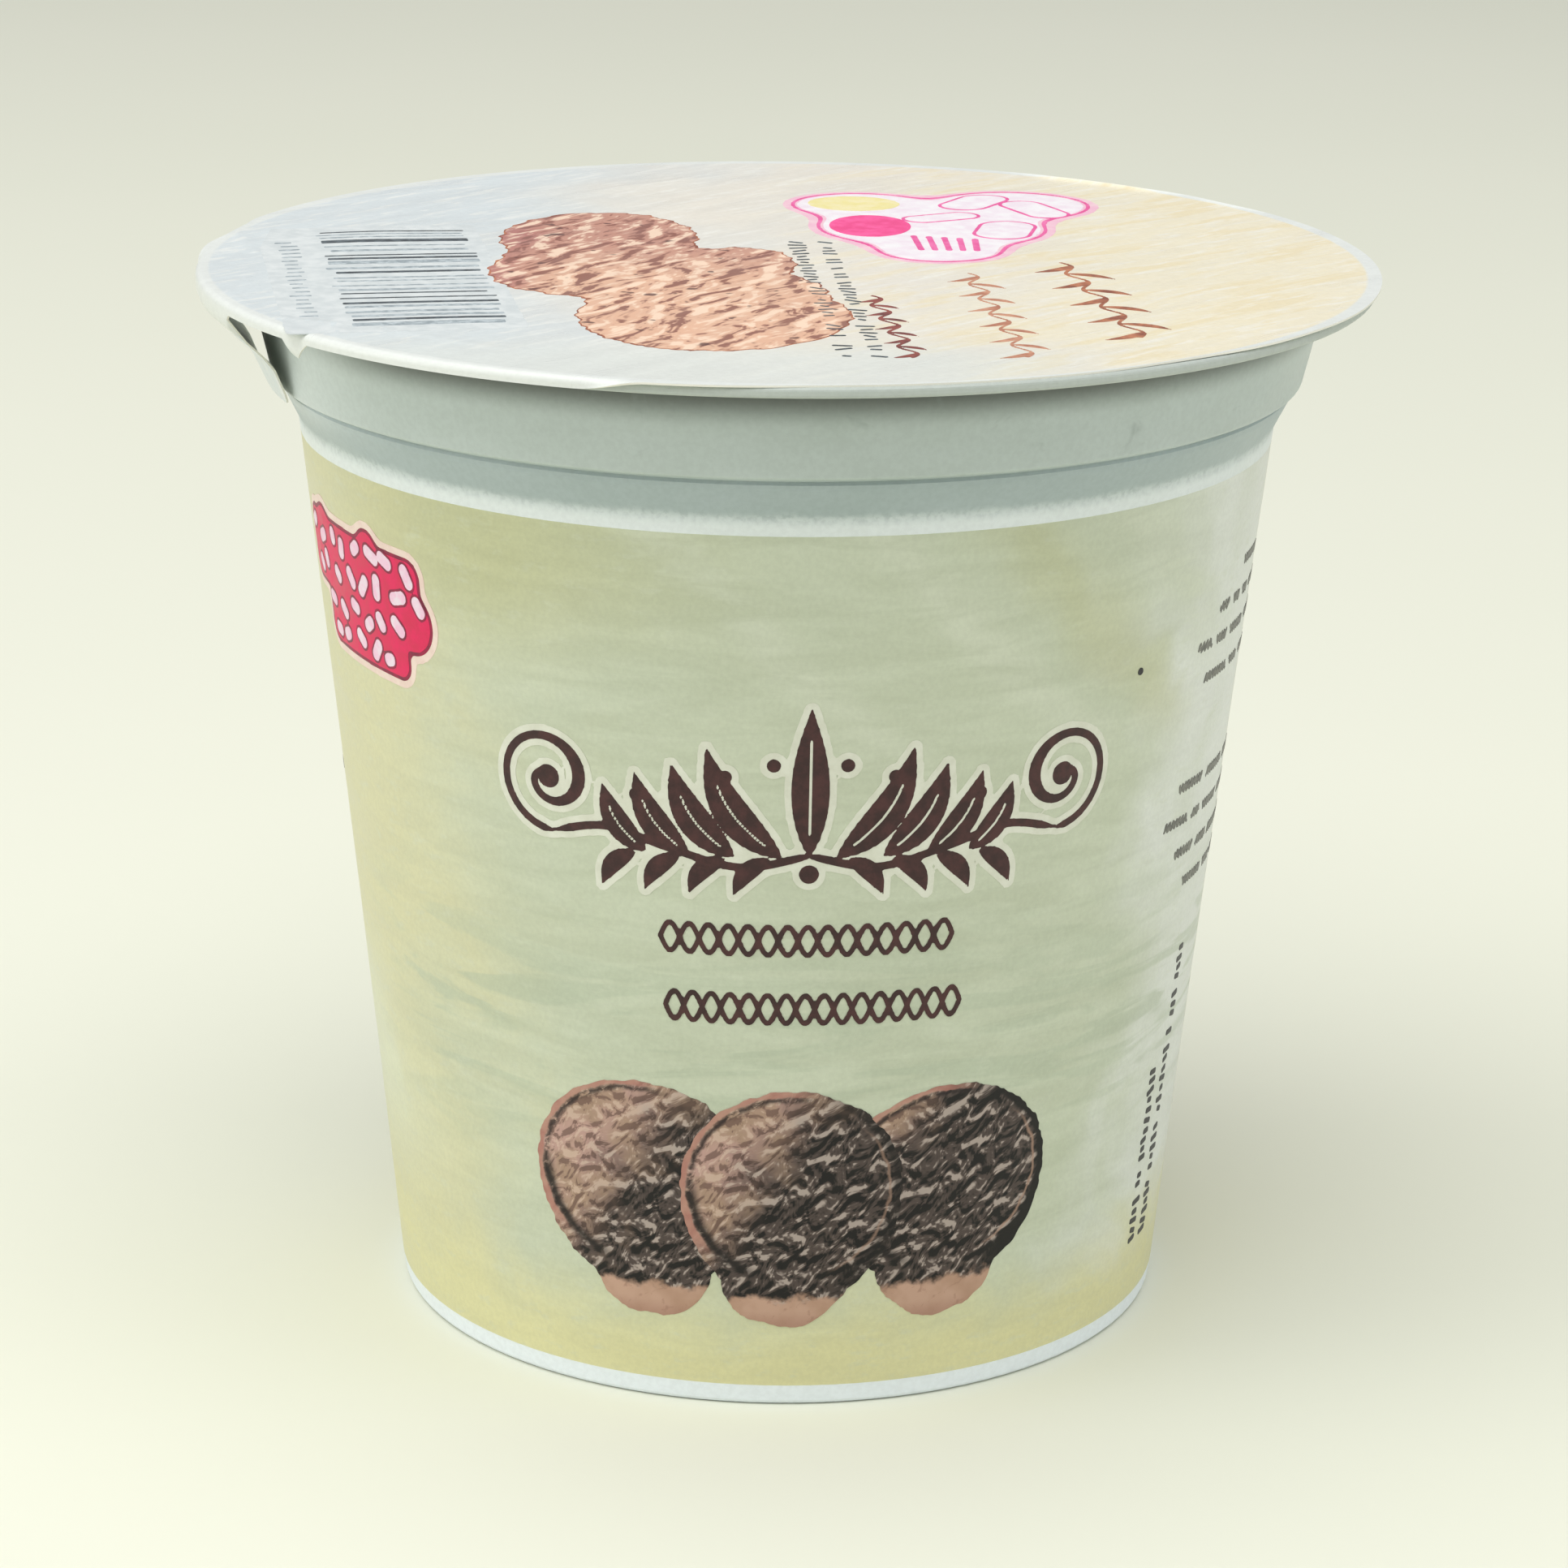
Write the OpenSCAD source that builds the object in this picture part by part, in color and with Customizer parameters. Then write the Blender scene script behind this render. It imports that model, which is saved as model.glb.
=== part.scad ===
// Small sealed ice cream tub: a tapered plastic cup with a stepped collar and a
// flat flange, a printed label flush with its wall, and a film lid with a pull tab.
// The origin is the middle of the foot, on the table. +Z is up, -Y is the front.

/* [Cup] */
// Height from the table to the top of the flange
cup_h = 68.05; // [56:0.05:82]
// Diameter of the foot
foot_d = 50.4; // [42:0.1:60.5]
// Diameter of the flange that carries the lid
flange_d = 74.8; // [62.3:0.1:90]
// Thickness of the flange
flange_t = 0.65; // [0.5:0.05:1]
// Width of the flange outside the collar
flange_w = 3.2; // [2.6:0.1:4]
// How far the side of the wall is bowed in, half way up
wall_bow = 0.1; // [0:0.05:0.6]

/* [Collar] */
// Height of the upper band, from its lower lip to the flange
band_h = 5.8; // [4.8:0.1:7]
// How much the upper band widens towards the flange, on the radius
band_flare = 1.2; // [0.6:0.1:1.6]
// Height of the groove under the upper band
groove_h = 0.4; // [0.3:0.05:0.6]
// How far the lip of the upper band stands out over the shoulder
lip_step = 0.6; // [0.4:0.05:0.8]
// Height of the sloping shoulder under the groove
shoulder_h = 2.5; // [2:0.1:3.5]
// How far the shoulder slopes in, on the radius
shoulder_w = 1.1; // [0.7:0.1:1.6]
// Height of the bare strip between the shoulder and the label
strip_h = 0.85; // [0.5:0.05:1.5]

/* [Foot] */
// Height of the bare band under the label
foot_band_h = 1.43; // [1:0.01:3]
// Radius of the rounded lower edge
foot_round = 0.5; // [0.3:0.05:0.9]
// Width of the ring that the cup stands on
stand_ring_w = 1.4; // [1:0.1:3]
// Height of the hollow under the base
base_recess_h = 1.3; // [0.8:0.1:2]

/* [Label] */
// Thickness of the label, which lies flush in the wall
label_t = 0.3; // [0.2:0.05:0.5]

/* [Lid] */
// How far the film reaches past the flange, where it lies flat
lid_overhang = 0.3; // [0.1:0.05:0.6]
// Thickness of the film
film_t = 0.12; // [0.08:0.02:0.2]
// Clearance between the folded film and the edge of the flange
skirt_gap = 0.08; // [0.06:0.01:0.2]
// Depth of film that is folded down over the flange
skirt_h = 0.25; // [0.1:0.05:0.5]
// How far the film stops short of the flange at the front
front_trim = 0.6; // [0:0.05:1]
// Angle to which the rim is curled up at the rear
curl_turn = 38; // [10:1:60]
// Width of the pull tab where it leaves the rim
tab_root_w = 15; // [11:0.5:18]
// Width of the pull tab near its tip
tab_tip_w = 7; // [4:0.5:10]
// Length of the pull tab, from the fold over the flange to its tip
tab_len = 7.9; // [6:0.1:8.5]

/* [Hidden] */
$fn = 96;

wall_steps = 10;         // cones that make up the bowed wall
edge_round = 0.22;       // radius of the flange's edges
strip_flare = 0.1;       // how much the bare strip widens upwards
fillet_r = 0.8;          // radius between the shoulder and the strip
neck_r = 0.5;            // radius between the upper band and the flange
lip_round = 0.3;         // radius of the upper band's lower lip
ring_slope_w = 0.8;      // width of the slope from the standing ring up to the base
shoulder_round = 0.35;   // height of the shoulder's rounded top
shoulder_soften = 0.12;  // how far that rounding draws in
groove_draw = 0.1;       // how far the groove is cut in behind the shoulder

flange_r = flange_d / 2;
foot_r = foot_d / 2;
band_top_r = flange_r - flange_w;
lip_r = band_top_r - band_flare;
shoulder_top_r = lip_r - lip_step;
strip_top_r = shoulder_top_r - shoulder_w;
wall_top_r = strip_top_r - strip_flare;

flange_z = cup_h - flange_t;
lip_z = flange_z - band_h;
shoulder_top_z = lip_z - groove_h;
strip_top_z = shoulder_top_z - shoulder_h;
label_top_z = strip_top_z - strip_h;
label_foot_z = foot_band_h;

// Radius of the bowed wall at a height
function wall_r(z) =
    let (t = z / label_top_z)
    foot_r + (wall_top_r - foot_r) * t - wall_bow * 4 * t * (1 - t);

// Points of the wall between the label's edges, drawn in by a depth
function wall_points(depth) =
    [for (i = [0:wall_steps])
        let (z = label_foot_z + (label_top_z - label_foot_z) * i / wall_steps)
        [wall_r(z) - depth, z]];

// Points on an arc about a centre
function arc(centre, r, from, to, steps = 5) =
    [for (i = [0:steps])
        let (a = from + (to - from) * i / steps)
        centre + r * [cos(a), sin(a)]];

// Right half of the cup's section, from the middle of the base round to the top.
// Nothing can be seen of the inside, so the cup is one solid with what it holds.
function foot_points() =
    let (stand_r = foot_r - foot_round,
         ring_r = stand_r - stand_ring_w)
    concat(
        [[0, base_recess_h], [ring_r - ring_slope_w, base_recess_h], [ring_r, 0]],
        arc([stand_r, foot_round], foot_round, -90, 0),
        [[wall_r(label_foot_z), label_foot_z]]);

// Fillet, slope, groove, lip, flared band and flange, from the strip upwards
function collar_points() =
    let (slope = atan2(shoulder_w, shoulder_h - shoulder_round),
         flare = atan2(band_flare, band_h))
    concat(
        [[wall_r(label_top_z), label_top_z]],
        arc([strip_top_r + fillet_r, strip_top_z], fillet_r, 180, 180 - slope, 4),
        [[shoulder_top_r - shoulder_soften, shoulder_top_z - shoulder_round],
         [shoulder_top_r, shoulder_top_z],
         [shoulder_top_r - groove_draw, shoulder_top_z + groove_h / 2]],
        arc([lip_r - lip_round, lip_z + lip_round], lip_round, -90, -flare),
        arc([band_top_r + neck_r, flange_z - neck_r], neck_r, 180 - flare, 90),
        arc([flange_r - edge_round, flange_z + edge_round], edge_round, -90, 0, 3),
        arc([flange_r - edge_round, cup_h - edge_round], edge_round, 0, 90, 3),
        [[0, cup_h]]);

module tub() {
    color([0.84, 0.88, 0.87])
        rotate_extrude()
            polygon(concat(foot_points(), wall_points(label_t), collar_points()));
}

module label() {
    inner = wall_points(label_t);
    color([0.85, 0.87, 0.70])
        rotate_extrude()
            polygon(concat(wall_points(0), [for (i = [wall_steps:-1:0]) inner[i]]));
}

// The film is a grid: round the lid by angle, and outwards along a path that lies
// flat on the flange and then turns down over its edge, turns up, or just ends.
seal_r = flange_r - flange_w;              // inside this the film is flat
bend_r = edge_round + skirt_gap;           // inner radius of the fold
bend_from_r = flange_r - edge_round;       // the fold begins here
bend_len = bend_r * PI / 2;
flat_len = edge_round + lid_overhang;      // film beyond that, where it lies flat
flat_share = 0.8;                          // share of it in the steps of the fold

coarse_step = 4;
fine_step = 1.5;
fine_from = 168;
fine_to = 228;
angles = concat(
    [for (a = [0:coarse_step:fine_from - fine_step]) a],
    [for (a = [fine_from:fine_step:fine_to - fine_step]) a],
    [for (a = [fine_to:coarse_step:360 - fine_step]) a]);
columns = len(angles);

flat_steps = 2;
bend_steps = 3;
tail_steps = 7;
steps = flat_steps + bend_steps + tail_steps;

tab_at = 193.5;                            // angle of the tab's middle
tab_root = asin(tab_root_w / 2 / flange_r);
tab_tip = asin(tab_tip_w / 2 / flange_r);
tab_hang = 0.5;                            // straight drop before the tab turns in
tab_turn_len = 0.8;                        // length over which it turns in
tab_ease_len = 1.2;                        // length over which it turns back
tab_in = 47;                               // angle at which the tab slopes in
tab_hug = 25;                              // angle at which its tip lies on the band
tab_slope_to = 4.4;                        // where along the tab the slope ends
pleat_at = 219;                            // angle of the small crumpled corner
pleat_len = 1.3;
pleat_half = 2.4;                          // half its width, as an angle

fold_fade = 7;                             // angle over which the fold dies out
fold_from = tab_at - tab_root;             // the rim is folded down from here
fold_to = 251;                             // to here
curl_back = 0.8;                           // how far inside the fold a curl begins
// Each curl of the rim: its middle, its half widths at the top and foot, and its share
CURLS = [[54, 5, 13, 1], [37, 1, 7, 0.7], [318, 4, 22, 0.25],
         [fold_from - fold_fade - 8, 2, 8, 0.6]];

// Angle between two directions
function apart(a, b) = abs((a - b + 540) % 360 - 180);

// Straight and smooth ramps from 0 at one value to 1 at another
function ramp(x, from, to) = max(0, min(1, (x - from) / (to - from)));
function smooth(x, from, to) = let (t = ramp(x, from, to)) t * t * (3 - 2 * t);

// 1 near the middle, fading smoothly to 0 between two half widths
function window(a, middle, full, none) = 1 - smooth(apart(a, middle), full, none);

// How far the rim is folded down, how far it is curled up, and where it is short
function folded(a) =
    smooth(a, fold_from - fold_fade, fold_from) * (1 - smooth(a, fold_to, fold_to + fold_fade));
function curled(a) = max([for (c = CURLS) c[3] * window(a, c[0], c[1], c[2])]);
function short(a) = window(a, 290, 14, 290 - fold_to - fold_fade);

// Length of the path in the fold, and beyond it
function mix(a, flat, fold) = flat + (fold - flat) * folded(a);
function fold_len(a) = mix(a, flat_len * flat_share, bend_len);
function tail_len(a) =
    let (tab = ramp(tab_root - apart(a, tab_at), 0, tab_root - tab_tip),
         pleat = max(0, 1 - apart(a, pleat_at) / pleat_half))
    max(mix(a, flat_len * (1 - flat_share), skirt_h),
        tab_len * sin(90 * tab), pleat_len * pleat);

// Direction of the path at a distance beyond the fold: 0 is outwards, 90 is down
function turn(a) = 90 * folded(a) - curl_turn * curled(a);
function tail_turn(a, x) =
    turn(a) + folded(a) * (
        tab_in * ramp(x, tab_hang, tab_hang + tab_turn_len)
        - (tab_in - tab_hug) * ramp(x, tab_slope_to, tab_slope_to + tab_ease_len));

// Length and direction of one step of the path
function step_at(a, i) =
    i < flat_steps
    ? [(bend_from_r - seal_r - front_trim * short(a) - curl_back * curled(a)) / flat_steps, 0]
    : i < flat_steps + bend_steps
    ? [fold_len(a) / bend_steps, turn(a) * (i - flat_steps + 0.5) / bend_steps]
    : let (part = tail_len(a) / tail_steps,
           x = part * (i - flat_steps - bend_steps + 0.5))
      [part, tail_turn(a, x)];

// Path of the film's lower face, as radius and height over the flange
function path(a) =
    [for (i = 0, p = [seal_r, 0]; i <= steps;
          p = p + step_at(a, i)[0] * [cos(step_at(a, i)[1]), -sin(step_at(a, i)[1])],
          i = i + 1) p];

// Direction square to the film where two steps meet
function normal_at(a, i) =
    let (d = (step_at(a, max(0, i - 1))[1] + step_at(a, min(steps - 1, i))[1]) / 2)
    [sin(d), cos(d)];

function film_points(thick) =
    [for (a = angles)
        let (line = path(a))
        for (i = [0:steps])
            let (q = line[i] + thick * (i == 0 ? [0, 1] : normal_at(a, i)))
            [q[0] * cos(a), q[0] * sin(a), cup_h + q[1]]];

module lid() {
    row = steps + 1;
    top = columns * row;
    last = steps;
    points = concat(film_points(0), film_points(film_t));
    faces = concat(
        [[for (c = [0:columns - 1]) c * row]],
        [[for (c = [columns - 1:-1:0]) top + c * row]],
        [for (c = [0:columns - 1], i = [0:steps - 1])
            let (d = (c + 1) % columns)
            each [[c * row + i, c * row + i + 1, d * row + i + 1],
                  [c * row + i, d * row + i + 1, d * row + i],
                  [top + c * row + i, top + d * row + i + 1, top + c * row + i + 1],
                  [top + c * row + i, top + d * row + i, top + d * row + i + 1]]],
        [for (c = [0:columns - 1])
            let (d = (c + 1) % columns)
            each [[c * row + last, top + c * row + last, top + d * row + last],
                  [c * row + last, top + d * row + last, d * row + last]]]);
    color([0.93, 0.92, 0.86])
        polyhedron(points = points, faces = faces);
}

tub();
label();
lid();
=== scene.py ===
"""Looks of the small sealed ice cream tub: moulded cup, printed label, sealing film and its print.

Lengths are in millimetres until a mesh is made. Azimuth 270 is the front of the label.
"""

import math

import bpy
import numpy as np
from mathutils import Matrix, Vector


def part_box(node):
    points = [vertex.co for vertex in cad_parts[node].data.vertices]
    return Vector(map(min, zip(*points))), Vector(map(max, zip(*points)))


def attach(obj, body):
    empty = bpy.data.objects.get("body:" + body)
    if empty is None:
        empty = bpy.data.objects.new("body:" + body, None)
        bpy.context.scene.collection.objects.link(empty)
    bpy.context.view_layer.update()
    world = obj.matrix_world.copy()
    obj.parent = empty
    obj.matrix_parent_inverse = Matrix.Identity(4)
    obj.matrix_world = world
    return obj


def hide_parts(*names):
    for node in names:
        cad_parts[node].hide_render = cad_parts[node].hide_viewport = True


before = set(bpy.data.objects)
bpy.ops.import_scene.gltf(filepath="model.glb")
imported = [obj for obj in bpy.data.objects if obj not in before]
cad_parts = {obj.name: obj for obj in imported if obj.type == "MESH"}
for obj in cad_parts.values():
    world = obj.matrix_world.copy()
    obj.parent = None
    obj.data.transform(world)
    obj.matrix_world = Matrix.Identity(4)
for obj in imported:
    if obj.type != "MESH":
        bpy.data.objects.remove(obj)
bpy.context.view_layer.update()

MM = 0.001
UV_MM = 100.0  # millimetres of print to one unit of the Print map
BODY = "root"
FRONT = 270.0


def box_mm(node):
    """Lowest and highest corner of a CAD node, in millimetres."""
    low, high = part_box(node)
    return low / MM, high / MM


# ------------------------------------------------------------------ sizes

_, label_high = box_mm("label")
_, tub_high = box_mm("tub")
LABEL_TOP_Z = label_high.z
FOOT_R = 25.2
WALL_TOP_R = label_high.x
WALL_BOW = 0.1
FLANGE_R = tub_high.x
CUP_H = tub_high.z
FILM_T = 0.12
FILM_TOP = CUP_H + FILM_T


def wall_r(z):
    """Radius of the label's outer face at a height."""
    t = z / LABEL_TOP_Z
    return FOOT_R + (WALL_TOP_R - FOOT_R) * t - WALL_BOW * 4 * t * (1 - t)


# ------------------------------------------------------------------ materials


def srgb(red, green, blue):
    """Linear RGBA of a colour given as 0 to 255."""
    linear = []
    for value in (red, green, blue):
        v = value / 255
        linear.append(v / 12.92 if v <= 0.04045 else ((v + 0.055) / 1.055) ** 2.4)
    return (*linear, 1.0)


class Finish:
    """A procedural material. Each method adds one node and returns its output."""

    def __init__(self, name, roughness, specular=0.5, **sockets):
        self.material = bpy.data.materials.new(name)
        self.material.use_nodes = True
        self.nodes = self.material.node_tree.nodes
        self.links = self.material.node_tree.links
        self.shader = self.nodes["Principled BSDF"]
        self.shader.inputs["Roughness"].default_value = roughness
        self.shader.inputs["Specular IOR Level"].default_value = specular
        for key, value in sockets.items():
            self.shader.inputs[key.replace("_", " ")].default_value = value

    def put(self, socket, value):
        """Links a socket to another node's output, or sets its value."""
        if isinstance(value, bpy.types.NodeSocket):
            self.links.new(value, socket)
        else:
            socket.default_value = value

    def node(self, kind, inputs, out=0, **settings):
        made = self.nodes.new(kind)
        for key, value in settings.items():
            setattr(made, key, value)
        for key, value in inputs.items():
            self.put(made.inputs[key], value)
        return made.outputs[out]

    def math(self, operation, a, b=0.0, c=0.0):
        return self.node("ShaderNodeMath", {0: a, 1: b, 2: c}, operation=operation)

    def scaled(self, vector, factors):
        return self.node("ShaderNodeVectorMath", {0: vector, 1: factors}, operation="MULTIPLY")

    def place(self):
        """Place on the object, in millimetres."""
        found = self.node("ShaderNodeTexCoord", {}, out="Object")
        return self.scaled(found, (1 / MM,) * 3)

    def print_place(self):
        """Place on a print, in millimetres from its middle."""
        found = self.node("ShaderNodeUVMap", {}, uv_map="Print")
        return self.scaled(found, (UV_MM,) * 3)

    def split(self, vector):
        made = self.nodes.new("ShaderNodeSeparateXYZ")
        self.put(made.inputs[0], vector)
        return made.outputs[0], made.outputs[1], made.outputs[2]

    def join(self, x, y, z=0.0):
        return self.node("ShaderNodeCombineXYZ", {0: x, 1: y, 2: z})

    def step(self, value, low, high, to_low=0.0, to_high=1.0):
        """Smooth ramp from one value at low to another at high."""
        inputs = {0: value, 1: low, 2: high, 3: to_low, 4: to_high}
        return self.node("ShaderNodeMapRange", inputs, interpolation_type="SMOOTHSTEP")

    def noise(self, vector, scale, detail=2.0, rough=0.5, warp=0.0, kind="FBM"):
        inputs = {"Vector": vector, "Scale": scale, "Detail": detail}
        inputs.update({"Roughness": rough, "Distortion": warp})
        return self.node("ShaderNodeTexNoise", inputs, noise_type=kind)

    def relief(self, vector, scale, offset, warp=0.8):
        """Crinkles lit from one side: above 0 where they face the light, below 0 behind."""
        moved = self.node("ShaderNodeVectorMath", {0: vector, 1: offset}, operation="ADD")
        here = self.noise(vector, scale, 3.0, 0.6, warp)
        return self.math("SUBTRACT", here, self.noise(moved, scale, 3.0, 0.6, warp))

    def mix(self, factor, a, b, blend="MIX"):
        inputs = {0: factor, 6: a, 7: b}
        return self.node("ShaderNodeMix", inputs, out=2, data_type="RGBA", blend_type=blend)

    def shade(self, colour, factor, low, high):
        """A colour made darker or lighter by a factor between low and high."""
        gain = self.step(factor, 0.3, 0.7, low, high)
        return self.mix(1.0, colour, self.join(gain, gain, gain), blend="MULTIPLY")

    def near(self, value, middle, half_width):
        """1 at the middle, fading to 0 at half_width on both sides."""
        away = self.math("ABSOLUTE", self.math("SUBTRACT", value, middle))
        return self.step(away, 0.0, half_width, 1.0, 0.0)

    def times(self, *factors):
        found = factors[0]
        for factor in factors[1:]:
            found = self.math("MULTIPLY", found, factor)
        return found

    def colour(self, value):
        self.put(self.shader.inputs["Base Color"], value)

    def rough(self, factor, low, high):
        self.put(self.shader.inputs["Roughness"], self.step(factor, 0.3, 0.7, low, high))

    def bump(self, height, depth_mm, strength=1.0):
        inputs = {"Strength": strength, "Distance": depth_mm * MM, "Height": height}
        self.put(self.shader.inputs["Normal"], self.node("ShaderNodeBump", inputs))


def plastic_finish():
    """White moulded plastic with painted light and shade: greyer at the collar, partly as only air is behind
    it and partly as painted shade of the flange; lighter at the foot and on the left of the collar as
    painted light; dark just under the flange and greyer on the flange's rim as painted shade.
    """
    f = Finish("cup_plastic", 0.42, 0.4)
    p = f.place()
    x, _, z = f.split(p)
    haze = f.noise(f.scaled(p, (0.12, 0.12, 0.35)), 1.0, 3.0, 0.55)
    grain = f.noise(p, 2.6, 3.0, 0.6)
    smudge = f.step(f.noise(p, 0.32, 4.0, 0.62, 0.6), 0.60, 0.78)
    on_band = f.times(f.step(z, 61.2, 62.5), f.step(z, 67.4, 66.0))
    base = f.mix(haze, srgb(222, 230, 228), srgb(232, 239, 241))
    # Painted light: the foot is made lighter, as if lit by light bounced off the floor.
    base = f.mix(f.step(z, 2.6, 1.0), base, srgb(238, 246, 252))
    # Partly painted shade: the collar is greyer, in part as only air is behind the thin plastic and in part
    # as painted shade of the flange's overhang. The lower band, which faces down, is painted darker still.
    base = f.mix(f.step(z, 58.3, 59.3), base, f.mix(haze, srgb(160, 175, 174), srgb(174, 187, 189)))
    base = f.mix(f.step(z, 61.2, 61.7), base, f.mix(haze, srgb(178, 190, 185), srgb(194, 205, 203)))
    # Painted light: the left of the lower collar band is made lighter, as if lit from the left.
    base = f.mix(f.times(f.step(x, -22.0, -35.0), f.step(z, 59.3, 61.7), 0.7), base, srgb(226, 235, 236))
    # Painted shadow: the collar just under the flange is made dark, except on the far left, as the flange's
    # shadow.
    base = f.mix(f.times(f.step(z, 64.6, 66.9), f.step(x, -33.0, -22.0), 0.88), base, srgb(66, 70, 64))
    # Painted shade: the upright rim of the flange is made greyer than the rest of the plastic, as shade on
    # an upright face.
    base = f.mix(f.step(z, 67.30, 67.45), base, srgb(182, 190, 184))
    base = f.mix(f.times(smudge, on_band, 0.45), base, srgb(134, 145, 142))
    # Frost flecks and painted light: a mottled lighter strip just above the label, partly frost and partly
    # painted light bounced from the floor.
    lift = f.math("ADD", z, f.math("MULTIPLY", f.math("SUBTRACT", f.noise(p, 0.4, 3.0, 0.6), 0.5), 1.0))
    frost_and_bounce_light = f.times(f.near(lift, 58.7, 0.75), f.step(grain, 0.32, 0.55), 0.4)
    base = f.mix(frost_and_bounce_light, base, srgb(224, 233, 231))
    f.colour(f.shade(base, grain, 0.965, 1.03))
    f.rough(haze, 0.34, 0.50)
    f.bump(grain, 0.012)
    return f.material


def label_finish():
    """Printed in-mould film: a brushed watercolour ground that repeats on both sides."""
    f = Finish("label_film", 0.38, 0.4)
    p = f.place()
    x, y, z = f.split(p)
    angle = f.math("ARCTAN2", x, f.math("MULTIPLY", y, -1.0))
    half_turn = f.math("WRAP", angle, math.pi / 2, -math.pi / 2)
    across = f.math("MULTIPLY", half_turn, LABEL_R)
    twice = f.math("MULTIPLY", angle, 2.0)
    ring_x = f.math("MULTIPLY", f.math("COSINE", twice), LABEL_R / 2)
    ring_y = f.math("MULTIPLY", f.math("SINE", twice), LABEL_R / 2)
    ring = f.join(ring_x, ring_y, z)

    cloud = f.noise(ring, 0.09, 3.0, 0.6, 0.4)
    wander = f.math("MULTIPLY", f.math("SUBTRACT", cloud, 0.5), 26.0)
    brush = f.noise(f.scaled(ring, (0.10, 0.10, 0.55)), 1.0, 4.0, 0.62, 0.8)
    fine = f.noise(f.scaled(ring, (0.55, 0.55, 1.6)), 1.0, 4.0, 0.7)
    grain = f.noise(p, 3.2, 3.0, 0.65)

    side = f.math("ADD", across, wander)
    height = f.math("ADD", z, f.math("MULTIPLY", wander, 0.35))
    base = f.mix(brush, COOL, COOL_LIGHT)
    base = f.mix(f.step(side, -10.0, -33.0), base, YELLOW)
    base = f.mix(f.times(f.step(side, -24.0, -36.0), f.near(height, 17.0, 11.0)), base, PALE_LEFT)
    base = f.mix(f.times(f.step(side, 20.0, 36.0), 0.8), base, PALE_RIGHT)
    base = f.mix(f.step(height, 11.0, 3.0), base, YELLOW_LOW)
    base = f.mix(f.times(f.step(height, 47.0, 55.0), f.near(across, -18.0, 20.0), 0.7), base, OLIVE)
    middle = f.times(f.near(height, 39.0, 10.0), f.step(across, -18.0, -40.0))
    base = f.mix(f.times(middle, 0.5), base, YELLOW)

    slant = f.math("ADD", height, across)
    top_part = f.times(f.step(z, 40.0, 46.0), f.step(across, -16.0, -4.0), f.step(across, 34.0, 26.0))
    for line, half_width, share in LIGHT_STREAKS:
        streak = f.times(f.near(slant, line, half_width), top_part, share)
        base = f.mix(f.times(streak, f.step(brush, 0.25, 0.6)), base, STREAK)
    patch = f.times(f.near(slant, 71.0, 5.5), top_part, f.step(across, 6.0, 14.0), 0.45)
    base = f.mix(patch, base, OLIVE)

    lower = f.times(f.near(z, 24.0, 13.0), f.step(across, -38.0, -26.0))
    sweeps = f.step(f.noise(f.scaled(ring, (0.06, 0.06, 0.42)), 1.0, 3.0, 0.6, 1.2), 0.46, 0.60)
    base = f.mix(f.times(sweeps, lower, 0.6), base, SWEEP)
    base = f.mix(f.times(f.step(fine, 0.52, 0.72), 0.35), base, STREAK)
    wrapped = f.step(f.math("ABSOLUTE", across), 39.0, 44.5)
    base = f.mix(wrapped, base, YELLOW)
    base = f.shade(base, brush, 0.965, 1.035)
    base = f.shade(base, grain, 0.965, 1.03)
    f.colour(base)
    f.rough(brush, 0.32, 0.46)
    f.bump(grain, 0.008)
    return f.material


LABEL_R = 28.5
COOL = srgb(190, 198, 172)
COOL_LIGHT = srgb(203, 210, 190)
YELLOW = srgb(211, 209, 170)
YELLOW_LOW = srgb(219, 216, 168)
PALE_LEFT = srgb(216, 219, 192)
PALE_RIGHT = srgb(229, 232, 229)
OLIVE = srgb(190, 191, 145)
STREAK = srgb(206, 212, 192)
SWEEP = srgb(180, 191, 168)
LIGHT_STREAKS = ((50.5, 3.2, 0.75), (63.0, 3.4, 0.8), (79.0, 3.6, 0.8))


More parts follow.
